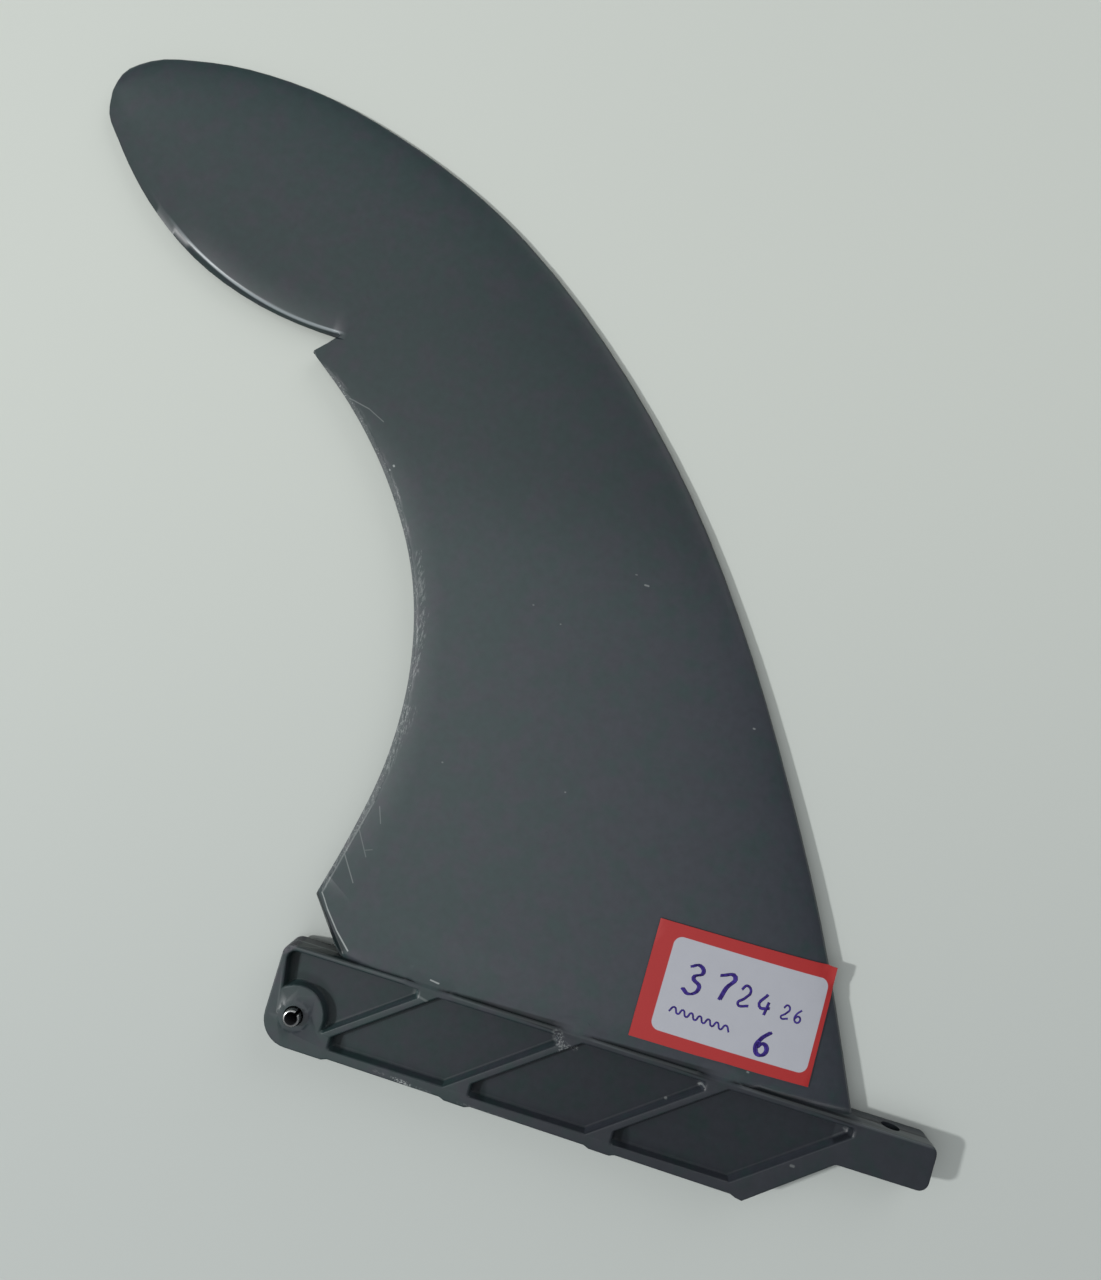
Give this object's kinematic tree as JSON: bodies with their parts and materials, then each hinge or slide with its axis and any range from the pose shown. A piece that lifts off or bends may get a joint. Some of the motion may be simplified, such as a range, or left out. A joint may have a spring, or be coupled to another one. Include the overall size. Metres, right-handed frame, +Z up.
{
  "type": "surfboard fin",
  "caption": "Swept surfboard centre fin moulded in one piece with a long cored-out base, a slotted spring pin and a price sticker, lying on its side.",
  "frame": {"origin": "centre of the bounding box in plan, on the surface that the fin lies on", "axes": "+X forward along the base from the rear pin to the front tab, +Y from the base towards the blade's tip, +Z up out of the side that shows"},
  "size_m": [0.2654, 0.2284, 0.0145],
  "materials": {
    "moulded_plastic": "dark grey, semi-matt moulded, scuffed along the cut trailing edge",
    "spring_steel": "bare rolled spring steel",
    "sticker_paper": "matt coated paper with a red border and a white field"
  },
  "bodies": {
    "root": {"fin": "moulded_plastic", "roll_pin": "spring_steel", "price_label": "sticker_paper"}
  },
  "joints": []
}
